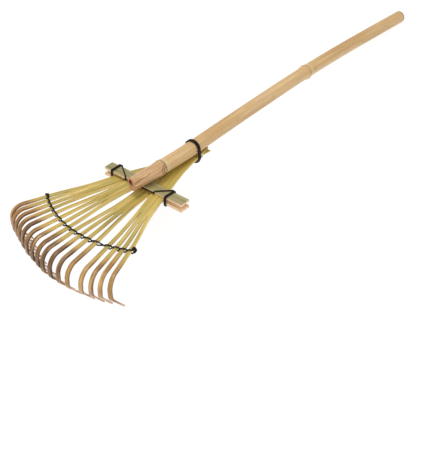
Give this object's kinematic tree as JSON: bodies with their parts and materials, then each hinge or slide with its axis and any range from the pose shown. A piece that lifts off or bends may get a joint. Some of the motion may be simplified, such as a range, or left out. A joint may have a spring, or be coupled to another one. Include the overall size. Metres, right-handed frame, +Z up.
{
  "type": "bamboo leaf rake",
  "caption": "Hand leaf rake: split bamboo blades with hooked tines fan out from a culm handle, clamped by a two-slat crossbar and tied with wire.",
  "frame": {"origin": "centre of the bounding box at floor level, under the part lying at rest on its outer tine tips and the far end of its handle", "axes": "+Y along the handle away from the tines, +X along the crossbar, +Z up"},
  "size_m": [0.2438, 1.0238, 0.0934],
  "materials": {
    "culm": "bare bamboo skin",
    "blade": "split bamboo, satin skin",
    "slat": "split bamboo, dull skin",
    "black_wire": "black annealed iron wire"
  },
  "bodies": {
    "root": {"handle": "culm", "blade_1": "blade", "blade_2": "blade", "blade_3": "blade", "blade_4": "blade", "upper_slat": "slat", "lower_slat": "slat", "neck_ring": "black_wire", "crossbar_lashing": "black_wire", "spreader_wire": "black_wire"}
  },
  "joints": []
}
